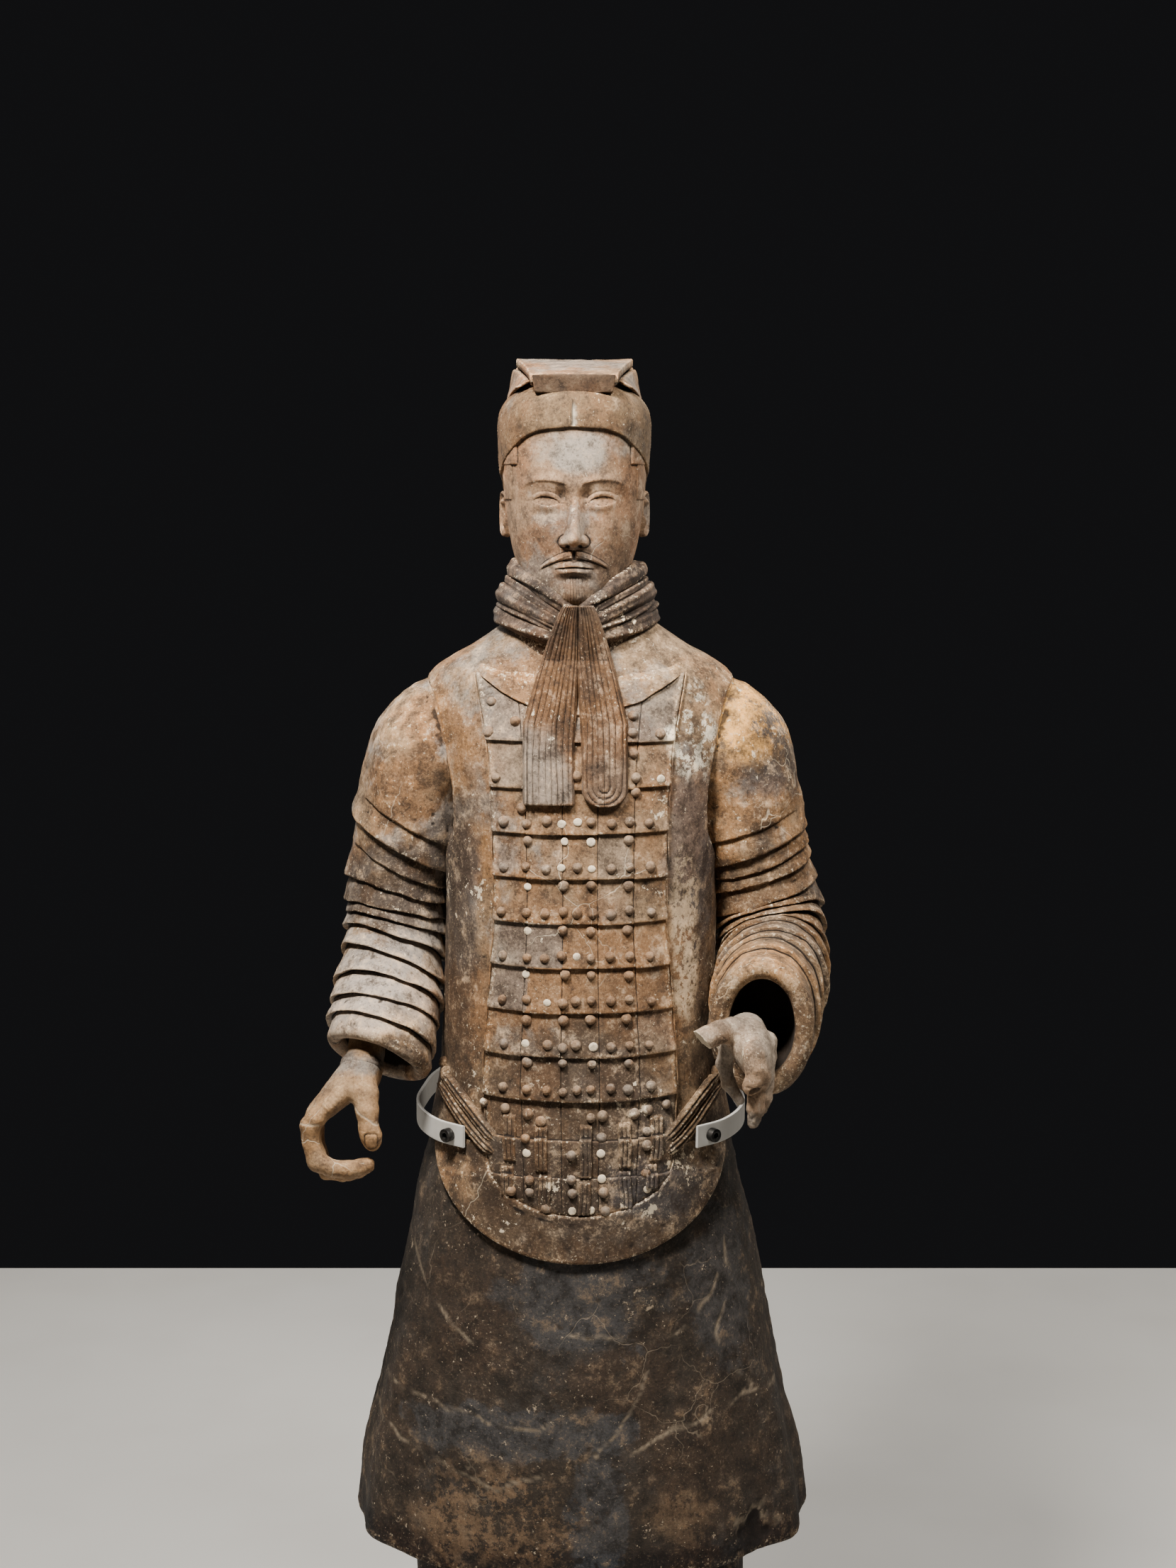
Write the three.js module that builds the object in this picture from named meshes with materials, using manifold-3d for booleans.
// Standing armoured officer in fired clay, with a set-in head and hands, a foot plate and a steel stand.
// Millimetres, +Z up. The figure faces -Y, its own right hand is at -X, and the origin is under the
// middle of the whole object. Every closed solid is one group member named for the piece it is.
import * as THREE from 'three';
import { mergeVertices } from 'three/addons/utils/BufferGeometryUtils.js';
import Module from 'manifold-3d';

const wasm = await Module();
wasm.setup();

// ---------- driving dimensions ----------

const CLEARANCE = 0.35;           // gap left where two fired pieces or a steel part meet

// Foot plate, the low slab that the shoes stand on.
const PLATE = { width: 470, front: -215, back: 185, height: 40, chamfer: 5 };

// Trunk and robe: half width, depth in front of and behind the axis, and squareness by height.
const HEM_HEIGHT = 470;
const HEM_WALL = 16;
const HEM_RECESS = 60;
const TRUNK_WIDTH = [[470, 279], [520, 273], [656, 246], [838, 210], [928, 190], [995, 172],
  [1062, 161], [1250, 156], [1340, 160], [1400, 169], [1450, 181], [1490, 188], [1517, 184],
  [1538, 168], [1559, 130], [1578, 92]];
const TRUNK_FRONT = [[470, 190], [656, 175], [838, 163], [995, 153], [1150, 144], [1340, 133],
  [1400, 128], [1450, 119], [1490, 107], [1517, 96], [1538, 85], [1559, 74], [1578, 66]];
const TRUNK_BACK = [[470, 186], [656, 162], [838, 141], [995, 122], [1150, 111], [1340, 115],
  [1450, 112], [1490, 106], [1517, 98], [1538, 88], [1559, 76], [1578, 66]];
const TRUNK_SQUARENESS = [[470, 2.05], [995, 2.25], [1400, 2.3], [1578, 2.1]];
const SKIRT_FOLDS = { count: 11, depth: 5, top: 860 };

// Armour vest over the robe: its swell, and the apron edge in front.
const VEST_SWELL = 7;
const APRON = { bottom: 848, halfWidth: 168, rise: 112 };
const SEAM_TOP = { x: 180, z: 1545 };      // where the arm hole meets the shoulder
const SEAM_ARMPIT = { x: 149, z: 1370 };

// The field of small plates on the chest and belly.
const FIELD_HALF_WIDTH = [[900, 20], [912, 62], [930, 86], [960, 102], [1050, 106], [1150, 100],
  [1250, 94], [1350, 96], [1440, 103], [1520, 118]];
const FIELD_COLUMNS = [-1, -0.62, -0.205, 0.205, 0.62, 1];
const ROW_TOP = 1448;
const ROW_PITCH = 51.25;
const ROW_COUNT = 9;
const LOWER_ROWS = [992, 948];
const FIELD_BOTTOM = 903;
const NECKLINE = { centre: 1475, side: 1518, halfWidth: 116 };
const PLATE_LIFT = 5;
const PLATE_BASE = 9;

// Sleeves: path of the middle, and half size across and deep, from shoulder to cuff.
const RIGHT_SLEEVE = {
  path: [[-140, 5, 1458], [-182, 6, 1426], [-204, 8, 1350], [-217, 10, 1285], [-223, 6, 1222],
    [-228, -14, 1165], [-234, -46, 1116], [-240, -80, 1065]],
  across: [[0, 78], [0.12, 84], [0.3, 70], [0.5, 61], [0.7, 60], [0.85, 64], [1, 64]],
  deep: [[0, 84], [0.12, 88], [0.3, 78], [0.5, 70], [0.7, 66], [0.85, 66], [1, 64]],
  cuffTilt: 13,
};
const LEFT_SLEEVE = {
  path: [[140, 5, 1458], [180, 6, 1426], [198, 8, 1350], [213, 12, 1285], [227, 12, 1225],
    [232, -18, 1178], [224, -82, 1152], [212, -150, 1140], [203, -212, 1131]],
  across: [[0, 78], [0.1, 83], [0.24, 70], [0.4, 62], [0.6, 64], [0.85, 62], [1, 59]],
  deep: [[0, 84], [0.1, 88], [0.24, 78], [0.4, 72], [0.6, 74], [0.85, 80], [1, 81]],
  cuffTilt: 0,
};
const SLEEVE_FOLDS = { first: 0.34, last: 0.93, count: 8, lift: 6, tuck: 3, tilt: 16 };
const CUFF = { wall: 20, depth: 62, roll: 5 };

// Neck scarf: rolls of cloth round the neck that meet in a knot below the chin.
const SCARF = { rolls: 4, radius: 12.5, knotY: -102, knotZ: 1592, halfWidth: 84, depth: 80,
  low: 1578, high: 1640 };
const RIBBON = { top: 1600, bottom: 1378, thick: 9, flutes: 3, topHalfWidth: 17, gap: 4 };
const NECK_SOCKET = { bottom: 1500 };

// Waist ties, a pair of cords each side, from the hip to the edge of the plate field.
const TIE = { hipX: 150, hipZ: 1040, frontX: 94, frontZ: 986, pitch: 14, radius: 6.5 };

// Trousers, shins and shoes.
const LEG_X = 104;
const TROUSER = { top: 560, bottom: 330, halfWidth: 101, depth: 128, wall: 14, recess: 30 };
const SHIN = [[110, 50], [180, 54], [260, 62], [380, 70]];
const SHOE = { toe: -178, heel: 92, width: 104, height: 74 };

// Head.
const HEAD_X = -7;
const HEAD_Y = -12;
const CHIN = 1600;
const CROWN = 1858;
const EYE_LINE = 1722;
const BROW = 1738;
const NOSE_BASE = 1668;
const MOUTH = 1645;
const HAIRLINE = 1798;
const HEAD_WIDTH = [[1588, 34], [1600, 46], [1625, 63], [1668, 74], [1710, 79], [1738, 80],
  [1775, 86], [1805, 90], [1830, 84], [1848, 62], [1858, 30]];
const HEAD_FRONT = [[1588, 66], [1600, 88], [1620, 94], [1645, 92], [1668, 92], [1722, 91],
  [1738, 96], [1775, 96], [1800, 96], [1830, 86], [1848, 64], [1858, 30]];
const HEAD_BACK = [[1588, 44], [1625, 58], [1668, 80], [1722, 98], [1775, 104], [1805, 102],
  [1830, 92], [1848, 66], [1858, 30]];
const NECK = { radius: 56, top: 1640 };
const EAR = { height: 62, z: 1702, y: 2 };
const CAP = { frontY: -92, backY: 38, tailY: 66, frontZ: 1863, backZ: 1890, tailZ: 1806,
  frontHalf: 60, backHalf: 73, flareHalf: 79, skirtZ: 1842, blockHalf: 48, blockHeight: 20,
  blockDepth: 15 };

// Steel stand behind the figure, with a flat band round the waist and two clamp screws.
const BAND = { z: 984, height: 26, thick: 4, sideX: 199, endX: 136, endY: -126, rearY: 208,
  rearHalf: 118 };
const STAND = { postY: 244, postRadius: 17, footWidth: 200, footDepth: 190, footHeight: 10,
  footY: 292, headHeight: 60, headWidth: 46 };
const SCREW = { headRadius: 8, headHeight: 9, shankRadius: 3.5, socketRadius: 4, socketDepth: 5 };
const PAD = { radius: 9, thick: 5, start: 8.4 };

// ---------- small tools ----------

/** Smooth curve through [key, value] stations, with no overshoot between them. */
function profile(stations) {
  const keys = stations.map((station) => station[0]);
  const values = stations.map((station) => station[1]);
  const slopes = keys.slice(1).map((key, i) => (values[i + 1] - values[i]) / (key - keys[i]));
  const bends = keys.map((key, i) => {
    if (i === 0) return slopes[0];
    if (i === keys.length - 1) return slopes[i - 1];
    if (slopes[i - 1] * slopes[i] <= 0) return 0;
    return (2 * slopes[i - 1] * slopes[i]) / (slopes[i - 1] + slopes[i]);
  });
  return (key) => {
    if (key <= keys[0]) return values[0];
    const last = keys.length - 1;
    if (key >= keys[last]) return values[last];
    const i = keys.findIndex((next, j) => j > 0 && key <= next) - 1;
    const span = keys[i + 1] - keys[i];
    const t = (key - keys[i]) / span;
    const square = t * t;
    const cube = square * t;
    return values[i] * (2 * cube - 3 * square + 1) + bends[i] * span * (cube - 2 * square + t)
      + values[i + 1] * (3 * square - 2 * cube) + bends[i + 1] * span * (cube - square);
  };
}

function signedPower(value, power) {
  return Math.sign(value) * Math.abs(value) ** power;
}

function clamp(value, low, high) {
  return Math.min(high, Math.max(low, value));
}

/** Bell of height 1 round centre, width its half spread. */
function bell(value, centre, width) {
  return Math.exp(-(((value - centre) / width) ** 2));
}

/** Closed solid from triangles, turned outward whichever way they were listed. */
function solidOf(points, triangles) {
  const volume = triangles.reduce((sum, [a, b, c]) => {
    const [p, q, r] = [points[a], points[b], points[c]];
    return sum + p.dot(q.clone().cross(r));
  }, 0);
  const outward = volume < 0 ? triangles.map(([a, b, c]) => [a, c, b]) : triangles;
  const geometry = new THREE.BufferGeometry().setFromPoints(points);
  geometry.setIndex(outward.flat());
  return solidFrom(geometry);
}

/** Manifold solid of a closed three.js geometry. */
function solidFrom(geometry) {
  const plain = geometry.clone();
  plain.deleteAttribute('normal');
  plain.deleteAttribute('uv');
  const merged = mergeVertices(plain, 1e-4);
  return new wasm.Manifold(new wasm.Mesh({
    numProp: 3,
    vertProperties: new Float32Array(merged.attributes.position.array),
    triVerts: new Uint32Array(merged.index.array),
  }));
}

/** Closed solid through rings of points, each ring closed on itself, the end rings capped. */
function loft(rings) {
  const count = rings[0].length;
  const points = rings.flat();
  const triangles = [];
  for (let i = 0; i < rings.length - 1; i += 1) {
    for (let j = 0; j < count; j += 1) {
      const a = i * count + j;
      const b = i * count + ((j + 1) % count);
      triangles.push([a, b, b + count], [a, b + count, a + count]);
    }
  }
  [[0, 1], [rings.length - 1, -1]].forEach(([ring, turn]) => {
    const middle = new THREE.Vector3();
    rings[ring].forEach((point) => middle.addScaledVector(point, 1 / count));
    const hub = points.push(middle) - 1;
    for (let j = 0; j < count; j += 1) {
      const a = ring * count + j;
      const b = ring * count + ((j + 1) % count);
      triangles.push(turn > 0 ? [hub, b, a] : [hub, a, b]);
    }
  });
  return solidOf(points, triangles);
}

/** Closed slab between a front sheet and a back sheet, given as two grids of the same size. */
function slab(front, back) {
  const rows = front.length;
  const columns = front[0].length;
  const points = [...front.flat(), ...back.flat()];
  const offset = rows * columns;
  const triangles = [];
  for (let i = 0; i < rows - 1; i += 1) {
    for (let j = 0; j < columns - 1; j += 1) {
      const a = i * columns + j;
      const c = a + columns + 1;
      triangles.push([a, a + 1, c], [a, c, a + columns]);
      triangles.push([a + offset, c + offset, a + 1 + offset]);
      triangles.push([a + offset, a + columns + offset, c + offset]);
    }
  }
  const rim = [];
  for (let j = 0; j < columns - 1; j += 1) rim.push(j);
  for (let i = 0; i < rows - 1; i += 1) rim.push(i * columns + columns - 1);
  for (let j = columns - 1; j > 0; j -= 1) rim.push((rows - 1) * columns + j);
  for (let i = rows - 1; i > 0; i -= 1) rim.push(i * columns);
  rim.forEach((a, k) => {
    const b = rim[(k + 1) % rim.length];
    triangles.push([a, a + offset, b + offset], [a, b + offset, b]);
  });
  return solidOf(points, triangles);
}

/**
 * Solid swept along stations {at, across, deep}. reference is the direction that "across" leans to,
 * relief(station index, angle) may push a point {out, along} the path.
 */
function sweep(stations, sides, reference, relief = () => ({ out: 0, along: 0 })) {
  const rings = stations.map((station, i) => {
    const before = stations[Math.max(0, i - 1)].at;
    const after = stations[Math.min(stations.length - 1, i + 1)].at;
    const forward = station.forward ?? after.clone().sub(before).normalize();
    const side = reference.clone().addScaledVector(forward, -reference.dot(forward)).normalize();
    const up = forward.clone().cross(side);
    return Array.from({ length: sides }, (_, j) => {
      const angle = (2 * Math.PI * j) / sides;
      const push = relief(i, angle);
      return station.at.clone()
        .addScaledVector(side, Math.cos(angle) * (station.across + push.out))
        .addScaledVector(up, Math.sin(angle) * (station.deep + push.out))
        .addScaledVector(forward, push.along);
    });
  });
  return loft(rings);
}

/** Rounded finger, cord or limb through points [x, y, z, radius], flat making it less deep. */
function limb(stops, sides, reference, flat = 1) {
  const centres = stops.map(([x, y, z]) => new THREE.Vector3(x, y, z));
  const radii = stops.map((stop) => stop[3]);
  const last = stops.length - 1;
  const start = centres[0].clone().sub(centres[1]).normalize();
  const end = centres[last].clone().sub(centres[last - 1]).normalize();
  const stations = centres.map((at, i) => ({ at, across: radii[i], deep: radii[i] * flat }));
  const tip = (at, way, radius, forward) => ({
    at: at.clone().addScaledVector(way, radius * 0.62),
    across: radius * 0.58,
    deep: radius * 0.58 * flat,
    forward,
  });
  stations.unshift(tip(centres[0], start, radii[0], start.clone().negate()));
  stations.push(tip(centres[last], end, radii[last], end));
  return sweep(stations, sides, reference);
}

function joined(solids) {
  return solids.reduce((sum, solid) => sum.add(solid));
}

/** The outer skin of a solid, with any sliver of space shut inside it filled. */
function filled(solid) {
  return solid.decompose().reduce((best, part) => (part.volume() > best.volume() ? part : best));
}

function boxSolid(width, depth, height, x, y, z) {
  const geometry = new THREE.BoxGeometry(width, depth, height);
  geometry.translate(x, y, z);
  return solidFrom(geometry);
}

/** Upright cylinder between two heights. */
function postSolid(radius, low, high, x, y, sides) {
  const geometry = new THREE.CylinderGeometry(radius, radius, high - low, sides);
  geometry.rotateX(Math.PI / 2);
  geometry.translate(x, y, (low + high) / 2);
  return solidFrom(geometry);
}

/** Prism of an outline in the X-Z plane, running from one Y to another. */
function prismSolid(outline, nearY, farY) {
  const shape = new THREE.Shape(outline.map(([x, z]) => new THREE.Vector2(x, z)));
  const geometry = new THREE.ExtrudeGeometry(shape, { depth: farY - nearY, bevelEnabled: false });
  geometry.rotateX(Math.PI / 2);
  geometry.translate(0, farY, 0);
  return solidFrom(geometry);
}

// ---------- trunk, robe and armour ----------

const trunkWidth = profile(TRUNK_WIDTH);
const trunkFront = profile(TRUNK_FRONT);
const trunkBack = profile(TRUNK_BACK);
const trunkSquareness = profile(TRUNK_SQUARENESS);

/** Point on the trunk at an angle round it, 0 at +X and a quarter turn at the back. */
function trunkPoint(angle, z, swell) {
  const power = 2 / trunkSquareness(z);
  const across = signedPower(Math.cos(angle), power);
  const along = signedPower(Math.sin(angle), power);
  const below = clamp((SKIRT_FOLDS.top - z) / (SKIRT_FOLDS.top - HEM_HEIGHT), 0, 1);
  const sideways = Math.abs(Math.cos(angle));
  const fold = SKIRT_FOLDS.depth * below * sideways * Math.sin(SKIRT_FOLDS.count * angle);
  const depth = along < 0 ? trunkFront(z) : trunkBack(z);
  return new THREE.Vector3((trunkWidth(z) + swell + fold) * across,
    (depth + swell + fold) * along, z);
}

/** Y of the trunk's front face at a place seen from the front. */
function frontY(x, z) {
  const squareness = trunkSquareness(z);
  const share = clamp(Math.abs(x) / trunkWidth(z), 0, 0.999);
  return -trunkFront(z) * (1 - share ** squareness) ** (1 / squareness);
}

function trunkRing(z, swell, sides) {
  return Array.from({ length: sides }, (_, j) => trunkPoint((2 * Math.PI * j) / sides, z, swell));
}

function robe() {
  const sides = 24;
  const heights = [HEM_HEIGHT, 520, 660, 850, 930, 1000, 1200, 1400, 1480, 1512, 1533, 1554,
    1578];
  const recess = HEM_HEIGHT + HEM_RECESS;
  return loft([trunkRing(recess, -HEM_WALL, sides), trunkRing(HEM_HEIGHT, -HEM_WALL, sides),
    ...heights.map((z) => trunkRing(z, 0, sides))]);
}

/** Outline of the vest seen from the front: arm holes, sides and the curved apron edge. */
function vestOutline() {
  const outline = [];
  const arc = 10;
  for (let i = 0; i <= arc; i += 1) {
    const turn = Math.PI * (i / arc);
    outline.push([-APRON.halfWidth * Math.cos(turn),
      APRON.bottom + APRON.rise * (1 - Math.sin(turn))]);
  }
  outline.push([260, 1040], [260, 1300], [SEAM_ARMPIT.x + 3, 1300]);
  outline.push([SEAM_ARMPIT.x, SEAM_ARMPIT.z], [156, 1430], [167, 1490]);
  outline.push([SEAM_TOP.x, SEAM_TOP.z], [SEAM_TOP.x, 1620]);
  const mirrored = [[-SEAM_TOP.x, 1620], [-SEAM_TOP.x, SEAM_TOP.z], [-167, 1490], [-156, 1430],
    [-SEAM_ARMPIT.x, SEAM_ARMPIT.z], [-SEAM_ARMPIT.x - 3, 1300], [-260, 1300], [-260, 1040]];
  return [...outline, ...mirrored];
}

function vest() {
  const sides = 24;
  const heights = [830, 930, 1000, 1080, 1250, 1390, 1450, 1490, 1518, 1536, 1554];
  const shell = loft(heights.map((z) => trunkRing(z, VEST_SWELL, sides)));
  return shell.intersect(prismSolid(vestOutline(), -400, 400));
}

const fieldHalfWidth = profile(FIELD_HALF_WIDTH);

/** Height of the neckline above the plate field at a place across it. */
function necklineZ(x) {
  const share = clamp(Math.abs(x) / NECKLINE.halfWidth, 0, 1);
  return NECKLINE.centre + (NECKLINE.side - NECKLINE.centre) * share ** 2;
}

/** The stepped plate field: each row overhangs the next, and the lowest rows lap upward. */
function plateField() {
  const stations = [];
  stations.push([1.0, 0], [0.998, PLATE_LIFT * 0.4]);
  for (let row = 0; row < ROW_COUNT; row += 1) {
    const z = ROW_TOP - row * ROW_PITCH;
    stations.push([z + 1.2, PLATE_LIFT], [z - 1.2, 0]);
  }
  LOWER_ROWS.forEach((z) => stations.push([z + 1.2, 0], [z - 1.2, PLATE_LIFT * 0.8]));
  stations.push([FIELD_BOTTOM, PLATE_LIFT * 0.4]);
  const place = (edge, station) => {
    const [z, lift] = station;
    if (z <= 1.0) {
      const x = edge * NECKLINE.halfWidth;
      return { x, z: necklineZ(x) + (z - 1) * 1000, lift };
    }
    const half = fieldHalfWidth(z);
    return { x: edge * half, z: z - 3 * (1 - edge ** 2), lift };
  };
  const sheet = (offset) => stations.map((station) => FIELD_COLUMNS.map((edge) => {
    const { x, z, lift } = place(edge, station);
    const out = offset < 0 ? offset : PLATE_BASE + lift;
    return new THREE.Vector3(x, frontY(x, z) - out, z);
  }));
  return slab(sheet(1), sheet(-12));
}

// ---------- sleeves ----------

/** Sleeve stations from shoulder to cuff, with two close stations at the lip of each fold. */
function sleeveStations(sleeve) {
  const curve = new THREE.CatmullRomCurve3(sleeve.path.map((p) => new THREE.Vector3(...p)));
  const across = profile(sleeve.across);
  const deep = profile(sleeve.deep);
  const lips = Array.from({ length: SLEEVE_FOLDS.count }, (_, i) => SLEEVE_FOLDS.first
    + ((SLEEVE_FOLDS.last - SLEEVE_FOLDS.first) * i) / (SLEEVE_FOLDS.count - 1));
  const marks = [[0, 0], [0.08, 0], [0.16, 0], [0.25, 0]];
  lips.forEach((t) => marks.push([t - 0.004, SLEEVE_FOLDS.lift], [t + 0.004, -SLEEVE_FOLDS.tuck]));
  marks.push([0.965, CUFF.roll], [0.99, CUFF.roll - 2], [1, -3]);
  return marks.map(([t, out]) => ({
    at: curve.getPointAt(t),
    forward: curve.getTangentAt(t),
    across: across(t),
    deep: deep(t),
    out,
    tilt: t < SLEEVE_FOLDS.first - 0.05 ? 0 : (t < 0.95 ? SLEEVE_FOLDS.tilt : sleeve.cuffTilt),
  }));
}

/** Sleeve solid with its open cuff; lean is the side that the folds climb towards. */
function sleeveSolid(sleeve, lean) {
  const stations = sleeveStations(sleeve);
  const reference = new THREE.Vector3(1, 0, 0);
  const outside = sweep(stations, 11, reference, (i, angle) => ({
    out: stations[i].out,
    along: lean * stations[i].tilt * Math.cos(angle),
  }));
  const mouth = stations[stations.length - 1];
  const hollow = [[-CUFF.depth, -16], [-10, -2], [4, 2]].map(([along, out]) => ({
    at: mouth.at.clone().addScaledVector(mouth.forward, along),
    forward: mouth.forward,
    across: mouth.across - CUFF.wall + out,
    deep: mouth.deep - CUFF.wall + out,
  }));
  return { outside, hollow: sweep(hollow, 10, reference), mouth };
}

// ---------- scarf, ribbons and waist ties ----------

function scarf() {
  const steps = 12;
  const rolls = Array.from({ length: SCARF.rolls }, (_, k) => {
    const share = k / (SCARF.rolls - 1);
    const rings = Array.from({ length: steps }, (_unused, i) => {
      const angle = -Math.PI / 2 + (2 * Math.PI * i) / steps;
      const open = ((1 + Math.sin(angle)) / 2) ** 0.55;
      const level = SCARF.low + (SCARF.high - SCARF.low) * share - (1 - share) * 14 * open;
      const z = SCARF.knotZ + (level - SCARF.knotZ) * Math.min(1, open * 1.5)
        - (1 - share) * 34 * (1 - open) * 4 * open;
      const lean = (1 - share) * 9;
      const x = HEAD_X / 2 + (SCARF.halfWidth + lean) * Math.cos(angle);
      const y = -4 + (angle < 0 || angle > Math.PI ? -SCARF.knotY + lean / 2 : SCARF.depth + lean)
        * Math.sin(angle);
      return { at: new THREE.Vector3(x, y, z), angle };
    });
    const section = rings.map(({ at, angle }) => {
      const outward = new THREE.Vector3(Math.cos(angle), Math.sin(angle), 0);
      const up = new THREE.Vector3(0, 0, 1);
      return Array.from({ length: 5 }, (_u, j) => {
        const turn = (2 * Math.PI * (j + 0.5)) / 5;
        return at.clone().addScaledVector(outward, Math.cos(turn) * SCARF.radius)
          .addScaledVector(up, Math.sin(turn) * SCARF.radius * 0.95);
      });
    });
    return ringSolid(section);
  });
  const collar = [1545, SCARF.high].map((z) => Array.from({ length: 16 }, (_, j) => {
    const angle = (2 * Math.PI * j) / 16;
    return new THREE.Vector3(HEAD_X / 2 + SCARF.halfWidth * Math.cos(angle),
      -4 + SCARF.depth * Math.sin(angle), z);
  }));
  return joined([...rolls, loft(collar)]);
}

/** Solid ring through sections that close on themselves both ways. */
function ringSolid(sections) {
  const count = sections[0].length;
  const points = sections.flat();
  const triangles = [];
  sections.forEach((_, i) => {
    const next = (i + 1) % sections.length;
    for (let j = 0; j < count; j += 1) {
      const k = (j + 1) % count;
      triangles.push([i * count + j, i * count + k, next * count + k]);
      triangles.push([i * count + j, next * count + k, next * count + j]);
    }
  });
  return solidOf(points, triangles);
}

/** One hanging ribbon; side is -1 for the figure's right, and flutes run down it. */
function ribbon(side) {
  const rows = 5;
  const columns = RIBBON.flutes * 2 + 1;
  const bottom = side < 0 ? RIBBON.bottom : RIBBON.bottom - 2;
  const sheet = (offset) => Array.from({ length: rows }, (_, i) => {
    const t = i / (rows - 1);
    const z = RIBBON.top + (bottom - RIBBON.top) * t;
    const spread = Math.min(1, t * 1.7) ** 0.8;
    const inner = side * RIBBON.gap * clamp((t - 0.4) * 3, -0.4, 1);
    const outer = side * (RIBBON.topHalfWidth + (side < 0 ? 46 : 40) * spread);
    return Array.from({ length: columns }, (_u, j) => {
      const s = j / (columns - 1);
      const x = -2 + inner + (outer - inner) * s;
      const flute = j % 2 === 0 ? 0 : 2.5;
      const lift = RIBBON.thick + 14 * (1 - t) ** 3;
      const face = frontY(x, Math.min(z, 1540)) - PLATE_BASE;
      const hang = Math.min(face, SCARF.knotY + 6 + (face - SCARF.knotY) * Math.min(1, t * 2));
      return new THREE.Vector3(x, hang - (offset < 0 ? offset : lift + flute), z);
    });
  });
  return slab(sheet(1), sheet(-6));
}

/** A pair of waist cords on one side. */
function waistTie(side) {
  const steps = 5;
  return joined([0, 1].map((cord) => {
    const stops = Array.from({ length: steps }, (_, i) => {
      const t = i / (steps - 1);
      const x = side * (TIE.hipX + (TIE.frontX - TIE.hipX) * t);
      const z = TIE.hipZ + (TIE.frontZ - TIE.hipZ) * t ** 0.9 - cord * TIE.pitch;
      return [x, frontY(x, z) - VEST_SWELL - 1, z, TIE.radius];
    });
    return limb(stops, 5, new THREE.Vector3(0, 0, 1));
  }));
}

// ---------- legs ----------

const shinRadius = profile(SHIN);

function leg(side) {
  const x = side * LEG_X;
  const ring = (z, halfWidth, depth, y = 0) => Array.from({ length: 12 }, (_, j) => {
    const angle = (2 * Math.PI * j) / 12;
    return new THREE.Vector3(x + halfWidth * Math.cos(angle), y + depth * Math.sin(angle), z);
  });
  const inner = TROUSER.halfWidth - TROUSER.wall;
  const innerDepth = TROUSER.depth - TROUSER.wall;
  const trouser = loft([ring(TROUSER.bottom + TROUSER.recess, inner, innerDepth),
    ring(TROUSER.bottom, inner, innerDepth), ring(TROUSER.bottom, TROUSER.halfWidth, TROUSER.depth),
    ring(420, TROUSER.halfWidth - 2, TROUSER.depth - 4),
    ring(TROUSER.top, TROUSER.halfWidth - 6, TROUSER.depth - 10)]);
  const shin = loft([SHOE.height, 110, 180, 260, 320, 380].map((z) => ring(z + 20,
    shinRadius(z), shinRadius(z) * 1.08, 12)));
  return joined([trouser, shin, shoe(side)]);
}

/** Square-toed shoe standing on the foot plate. */
function shoe(side) {
  const x = side * (LEG_X + 4);
  const sole = PLATE.height + CLEARANCE;
  const stations = [[SHOE.toe, 0.82, 20], [SHOE.toe + 10, 0.96, 32], [-120, 1, 36], [-60, 0.96, 56],
    [-30, 0.9, SHOE.height], [60, 0.82, SHOE.height], [SHOE.heel, 0.7, SHOE.height - 8]];
  return loft(stations.map(([y, share, height]) => {
    const half = (SHOE.width / 2) * share;
    const top = half * 0.72;
    const turn = side * -0.05 * y;
    return [[-half, 0], [half, 0], [half, height * 0.6], [top, height], [-top, height],
      [-half, height * 0.6]].map(([dx, dz]) => new THREE.Vector3(x + dx + turn, y, sole + dz));
  }));
}

// ---------- head ----------

const headWidth = profile(HEAD_WIDTH);
const headFront = profile(HEAD_FRONT);
const headBack = profile(HEAD_BACK);

/** How far the face stands out of the plain egg at a place: brow, eyes, nose, lips and chin. */
function faceRelief(x, z) {
  const side = Math.abs(x);
  const nose = clamp((BROW - 6 - z) / (BROW - 6 - NOSE_BASE - 6), 0, 1);
  const noseRidge = z > NOSE_BASE - 4 ? (6 + 15 * nose) * bell(x, 0, 7 + 7 * nose)
    * clamp((z - NOSE_BASE + 5) / 8, 0, 1) * clamp((BROW + 4 - z) / 16, 0, 1) : 0;
  const eyeSocket = -6 * bell(side, 32, 15) * bell(z, EYE_LINE, 11);
  const eyeball = 4 * bell(side, 32, 11) * bell(z, EYE_LINE - 2, 6);
  const lips = 5 * bell(x, 0, 20) * bell(z, MOUTH, 9);
  const chin = 4 * bell(x, 0, 18) * bell(z, CHIN + 14, 10);
  return noseRidge + eyeSocket + eyeball + lips + chin;
}

function headRing(z, swell, sides, drop = 0) {
  return Array.from({ length: sides }, (_, j) => {
    const angle = (2 * Math.PI * j) / sides;
    const power = 2 / 2.15;
    const x = (headWidth(z) + swell) * signedPower(Math.cos(angle), power);
    const facing = Math.sin(angle) < 0;
    const depth = (facing ? headFront(z) : headBack(z)) + swell;
    const relief = facing ? faceRelief(x, z) * Math.abs(Math.sin(angle)) : 0;
    const y = depth * signedPower(Math.sin(angle), power) - relief;
    return new THREE.Vector3(HEAD_X + x, HEAD_Y + y, z - drop);
  });
}

function skull(swell) {
  const sides = 20;
  const heights = [1588, CHIN, 1612, 1625, 1637, MOUTH, 1655, NOSE_BASE - 3, NOSE_BASE + 4, 1685,
    1705, EYE_LINE - 6, EYE_LINE + 4, BROW, 1752, 1775, HAIRLINE, 1820, 1838, 1850, CROWN];
  return loft(heights.map((z, i) => headRing(z, swell, sides, i === 0 ? swell : 0)));
}

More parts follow.
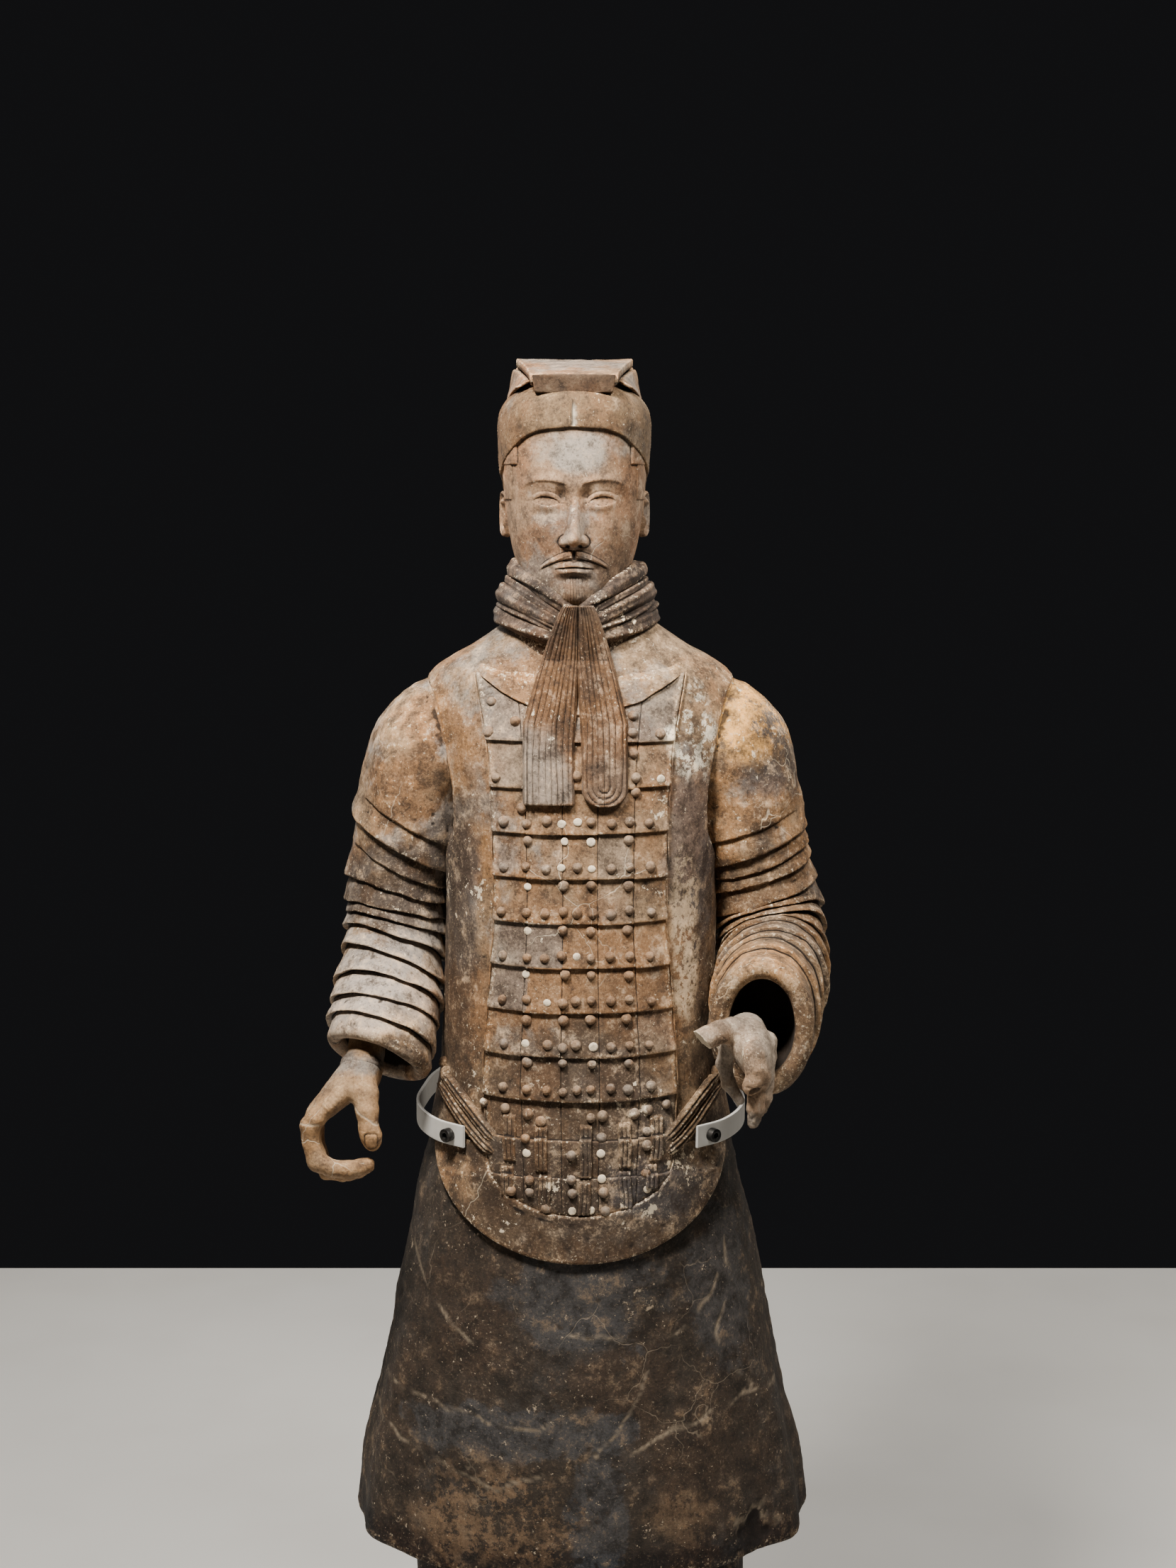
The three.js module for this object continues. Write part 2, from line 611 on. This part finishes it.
/** Hair laid over the skull above an arched hairline, with a fuller band behind. */
function hair() {
  const heights = [1690, 1730, 1770, 1800, 1825, 1842, 1855, 1863];
  const cover = loft(heights.map((z) => headRing(Math.min(z, CROWN), 5, 20)
    .map((point) => point.setZ(z))));
  const arch = [[-140, 1900], [-140, 1650], [200, 1650], [200, 1900]];
  const face = [[HEAD_X - 82, 1600], [HEAD_X + 82, 1600], [HEAD_X + 82, 1760],
    [HEAD_X + 70, 1783], [HEAD_X + 40, 1798], [HEAD_X, 1803], [HEAD_X - 40, 1798],
    [HEAD_X - 70, 1783], [HEAD_X - 82, 1760]];
  return cover.intersect(prismSolid(arch, -200, 200)).subtract(prismSolid(face, -200, -30));
}

function ear(side) {
  const base = HEAD_X + side * 78;
  const stops = [[base, EAR.y + 4, EAR.z - EAR.height / 2, 6], [base + side * 3, EAR.y, EAR.z - 10, 9],
    [base + side * 6, EAR.y + 4, EAR.z + EAR.height / 2 - 14, 14]];
  return limb(stops, 8, new THREE.Vector3(0, 1, 0), 0.55);
}

/** Board cap: a block in front, a board that climbs backwards, and flared sides. */
function cap() {
  const section = (y, topHalf, topZ, lowHalf, lowZ) => [[-lowHalf, lowZ], [lowHalf, lowZ],
    [topHalf, topZ], [-topHalf, topZ]].map(([x, z]) => new THREE.Vector3(HEAD_X + x, y, z));
  const board = loft([
    section(CAP.frontY, CAP.frontHalf, CAP.frontZ, CAP.frontHalf - 4, CAP.frontZ - 9),
    section(CAP.frontY + 50, CAP.frontHalf + 5, CAP.frontZ + 11, CAP.frontHalf + 8, CAP.skirtZ),
    section(CAP.backY - 8, CAP.backHalf, CAP.backZ, CAP.flareHalf, CAP.skirtZ),
    section(CAP.backY, CAP.backHalf, CAP.backZ, CAP.flareHalf, CAP.skirtZ - 6),
    section(CAP.tailY, CAP.backHalf - 8, CAP.backZ - 24, CAP.flareHalf - 14, CAP.tailZ)]);
  const block = boxSolid(CAP.blockHalf * 2, CAP.blockDepth, CAP.blockHeight,
    HEAD_X, CAP.frontY - 4, CAP.frontZ - CAP.blockHeight / 2);
  return board.add(block);
}

function headSolid() {
  const neck = postSolid(NECK.radius, NECK_SOCKET.bottom + CLEARANCE, NECK.top, HEAD_X, 0, 24);
  const plait = limb([[HEAD_X, 86, 1694, 20], [HEAD_X, 92, 1740, 24], [HEAD_X, 88, 1800, 22]], 8,
    new THREE.Vector3(1, 0, 0), 0.5);
  return filled(joined([skull(0), neck, hair(), ear(-1), ear(1), plait, cap()]));
}

// ---------- hands ----------

const WRIST_SEAT = 28;      // how far a wrist goes into its socket past the floor of the cuff
const WRIST_REACH = 26;     // how far the right wrist stands out of its cuff

/** Hand of the right arm: fingers curled round an empty grip, thumb held down in front. */
function rightHand(mouth, swell) {
  const wrist = mouth.at.clone().add(new THREE.Vector3(-14, -4, 6))
    .addScaledVector(mouth.forward, WRIST_REACH);
  const seat = wrist.clone().addScaledVector(mouth.forward, -WRIST_REACH - CUFF.depth - WRIST_SEAT);
  const r = 23 + swell;
  const stem = limb([[...seat.toArray(), r], [...wrist.toArray(), r]], 10,
    new THREE.Vector3(0, 1, 0));
  if (swell > 0) return stem;
  const depthwise = new THREE.Vector3(0, 1, 0);
  const palm = sweep([
    { at: new THREE.Vector3(-258, -103, 1061), across: 24, deep: 20 },
    { at: new THREE.Vector3(-272, -113, 1046), across: 35, deep: 19 },
    { at: new THREE.Vector3(-293, -120, 1026), across: 41, deep: 15 },
    { at: new THREE.Vector3(-311, -121, 1010), across: 41, deep: 11 },
  ], 10, depthwise);
  const rows = [-151, -131, -111, -92];
  const fingers = rows.map((y, i) => {
    const drop = [0, 2, 3, 1][i];
    const curl = [0, -2, -6, -14][i];
    const r0 = [10.5, 10.5, 10, 9][i];
    return limb([[-311, y, 1010 + drop, r0], [-305, y, 964 + drop * 2, r0 - 0.5],
      [-270 + curl, y + 1, 950 + drop * 2, r0 - 1], [-244 + curl, y + 2, 956 + drop * 2, r0 - 2.5]],
    6, depthwise);
  });
  const thumb = limb([[-256, -118, 1052, 17], [-247, -144, 1026, 13], [-244, -150, 1000, 11],
    [-241, -152, 982, 9.5]], 6, new THREE.Vector3(1, 0, 0));
  return joined([stem, palm, ...fingers, thumb]);
}

/** Hand of the left arm: it droops over the cuff, thumb inwards, first finger broken short. */
function leftHand(mouth, swell) {
  const wrist = mouth.at.clone().add(new THREE.Vector3(-16, 0, -2));
  const back = new THREE.Vector3(0.02, 0.97, -0.24).normalize();
  const seat = wrist.clone().addScaledVector(back, CUFF.depth + WRIST_SEAT);
  const r = 23 + swell;
  const stem = limb([[...seat.toArray(), r], [...wrist.toArray(), r]], 10,
    new THREE.Vector3(1, 0, 0));
  if (swell > 0) return stem;
  const sideways = new THREE.Vector3(1, 0, 0);
  const palm = sweep([
    { at: new THREE.Vector3(186, -210, 1129), across: 21, deep: 20 },
    { at: new THREE.Vector3(184, -232, 1132), across: 25, deep: 21 },
    { at: new THREE.Vector3(187, -252, 1128), across: 24, deep: 23 },
    { at: new THREE.Vector3(193, -263, 1114), across: 18, deep: 27 },
    { at: new THREE.Vector3(196, -265, 1102), across: 13, deep: 28 },
  ], 10, sideways);
  const ends = [[192, -284, 1106, 1088, 10], [194, -268, 1104, 1045, 9.5],
    [199, -252, 1106, 1055, 9], [203, -237, 1110, 1068, 8]];
  const fingers = ends.map(([x, y, top, tip, r0]) => limb([[x + 2, y + 4, top + 14, r0 + 2],
    [x + 1, y, (top * 2 + tip) / 3, r0], [x - 2, y + 2, tip, r0 - (tip > 1090 ? 0 : 3)]], 6,
  new THREE.Vector3(0, 1, 0)));
  const thumb = limb([[176, -240, 1134, 15], [156, -262, 1142, 12], [135, -272, 1136, 10.5]], 6,
    new THREE.Vector3(0, 1, 0));
  return joined([stem, palm, ...fingers, thumb]);
}

// ---------- stand ----------

/** Middle line of the band, from one front end round the back to the other. */
function bandPath() {
  const half = [[BAND.endX, BAND.endY], [166, -98], [189, -52], [BAND.sideX, 0], [196, 60],
    [186, 130], [164, 182], [BAND.rearHalf, BAND.rearY]];
  return [...half, ...half.slice().reverse().map(([x, y]) => [-x, y])];
}

function bandSolid() {
  const path = bandPath();
  const last = path.length - 1;
  const offsetPoint = (i, offset) => {
    const [ax, ay] = path[Math.max(0, i - 1)];
    const [bx, by] = path[Math.min(last, i + 1)];
    const length = Math.hypot(bx - ax, by - ay);
    const [x, y] = path[i];
    return new THREE.Vector2(x + (offset * (by - ay)) / length, y - (offset * (bx - ax)) / length);
  };
  const outer = path.map((_, i) => offsetPoint(i, BAND.thick / 2));
  const inner = path.map((_, i) => offsetPoint(i, -BAND.thick / 2)).reverse();
  const shape = new THREE.Shape([...outer, ...inner]);
  const geometry = new THREE.ExtrudeGeometry(shape, { depth: BAND.height, bevelEnabled: false });
  geometry.translate(0, 0, BAND.z - BAND.height / 2);
  return solidFrom(geometry);
}

/** Axis of a clamp screw: a point on the band near its end and the way into the figure. */
function clampAxis(side) {
  const at = new THREE.Vector3(side * 152, -113, BAND.z);
  const inward = new THREE.Vector3(-side * 0.64, 0.77, 0).normalize();
  return { at, inward };
}

/** Round part of a clamp, given as [distance along the axis, radius] stops. */
function turned(axis, stops, sides) {
  const up = new THREE.Vector3(0, 0, 1);
  return sweep(stops.map(([along, radius]) => ({
    at: axis.at.clone().addScaledVector(axis.inward, along),
    forward: axis.inward,
    across: radius,
    deep: radius,
  })), sides, up);
}

function clampScrew(axis) {
  const head = -BAND.thick / 2 - CLEARANCE;
  const whole = turned(axis, [[head - SCREW.headHeight, SCREW.headRadius],
    [head, SCREW.headRadius], [head + 0.01, SCREW.shankRadius],
    [PAD.start - CLEARANCE, SCREW.shankRadius]], 12);
  const socket = turned(axis, [[head - SCREW.headHeight - 1, SCREW.socketRadius],
    [head - SCREW.headHeight + SCREW.socketDepth, SCREW.socketRadius]], 6);
  return whole.subtract(socket);
}

function footPlate() {
  const depth = PLATE.back - PLATE.front;
  const middle = (PLATE.back + PLATE.front) / 2;
  const ring = (inset, z) => {
    const x = PLATE.width / 2 - inset;
    const y = depth / 2 - inset;
    return [[x, -y], [x, y], [-x, y], [-x, -y]].map(([dx, dy]) => (
      new THREE.Vector3(dx, middle + dy, z)));
  };
  return loft([ring(0, 0), ring(0, PLATE.height - PLATE.chamfer), ring(PLATE.chamfer, PLATE.height)]);
}

/** Foot, post and head block of the stand, welded together. */
function stand() {
  const foot = boxSolid(STAND.footWidth, STAND.footDepth, STAND.footHeight, 0, STAND.footY,
    STAND.footHeight / 2);
  const top = BAND.z + STAND.headHeight / 2;
  const post = postSolid(STAND.postRadius, STAND.footHeight - 1, top - 6, 0, STAND.postY, 24);
  const near = BAND.rearY + BAND.thick / 2 + CLEARANCE;
  const block = boxSolid(STAND.headWidth, STAND.postY - near, STAND.headHeight, 0,
    (STAND.postY + near) / 2, BAND.z);
  return joined([foot, post, block]);
}

/** Round pad on the inner end of a clamp screw, pressed against the armour. */
function clampPad(axis, swell) {
  const start = PAD.start - swell;
  return turned(axis, [[start, PAD.radius + swell], [start + PAD.thick + 2 * swell,
    PAD.radius + swell]], 16);
}

// ---------- assembly ----------

const material = (color, roughness, metalness) => new THREE.MeshStandardMaterial({
  color, roughness, metalness,
});
const CLAY = material(0x7d6a57, 0.85, 0);
const CLAY_HEAD = material(0x86705c, 0.82, 0);
const CLAY_HAND = material(0xb39a80, 0.85, 0);
const CLAY_PLATE = material(0x6b5d50, 0.9, 0);
const PAINTED_STEEL = material(0xb9b6b0, 0.5, 0.3);
const DARK_STEEL = material(0x2b2a29, 0.45, 0.8);
const RUBBER = material(0xd8d4cc, 0.8, 0);

const group = new THREE.Group();

function addPiece(name, solid, look) {
  const { vertProperties, triVerts } = solid.getMesh();
  const geometry = new THREE.BufferGeometry();
  geometry.setAttribute('position', new THREE.BufferAttribute(new Float32Array(vertProperties), 3));
  geometry.setIndex(new THREE.BufferAttribute(new Uint32Array(triVerts), 1));
  const mesh = new THREE.Mesh(geometry, look);
  mesh.name = name;
  group.add(mesh);
}

const rightSleeve = sleeveSolid(RIGHT_SLEEVE, 1);
const leftSleeve = sleeveSolid(LEFT_SLEEVE, -1);
const clamps = [['right', -1], ['left', 1]].map(([name, side]) => ({ name, axis: clampAxis(side) }));

const solidFigure = joined([robe(), vest(), plateField(), rightSleeve.outside,
  leftSleeve.outside, scarf(), ribbon(-1), ribbon(1), waistTie(-1), waistTie(1), leg(-1), leg(1)]);
const cuts = [rightSleeve.hollow, leftSleeve.hollow, rightHand(rightSleeve.mouth, CLEARANCE),
  leftHand(leftSleeve.mouth, CLEARANCE),
  postSolid(NECK.radius + CLEARANCE, NECK_SOCKET.bottom, 1760, HEAD_X, 0, 24),
  skull(2 * CLEARANCE), ...clamps.map(({ axis }) => clampPad(axis, CLEARANCE))];
const figure = filled(cuts.reduce((rest, cut) => rest.subtract(cut), solidFigure));

addPiece('body', figure, CLAY);
addPiece('head', headSolid(), CLAY_HEAD);
addPiece('right_hand', rightHand(rightSleeve.mouth, 0), CLAY_HAND);
addPiece('left_hand', leftHand(leftSleeve.mouth, 0), CLAY_HAND);
addPiece('foot_plate', footPlate(), CLAY_PLATE);
addPiece('stand_post', stand(), PAINTED_STEEL);
const bolted = clamps.reduce((band, { axis }) => band.subtract(turned(axis,
  [[-10, SCREW.shankRadius + CLEARANCE], [10, SCREW.shankRadius + CLEARANCE]], 16)), bandSolid());
addPiece('waist_band', bolted, PAINTED_STEEL);
clamps.forEach(({ name, axis }) => {
  addPiece(`clamp_screw_${name}`, clampScrew(axis), DARK_STEEL);
  addPiece(`clamp_pad_${name}`, clampPad(axis, 0), RUBBER);
});

export default group;
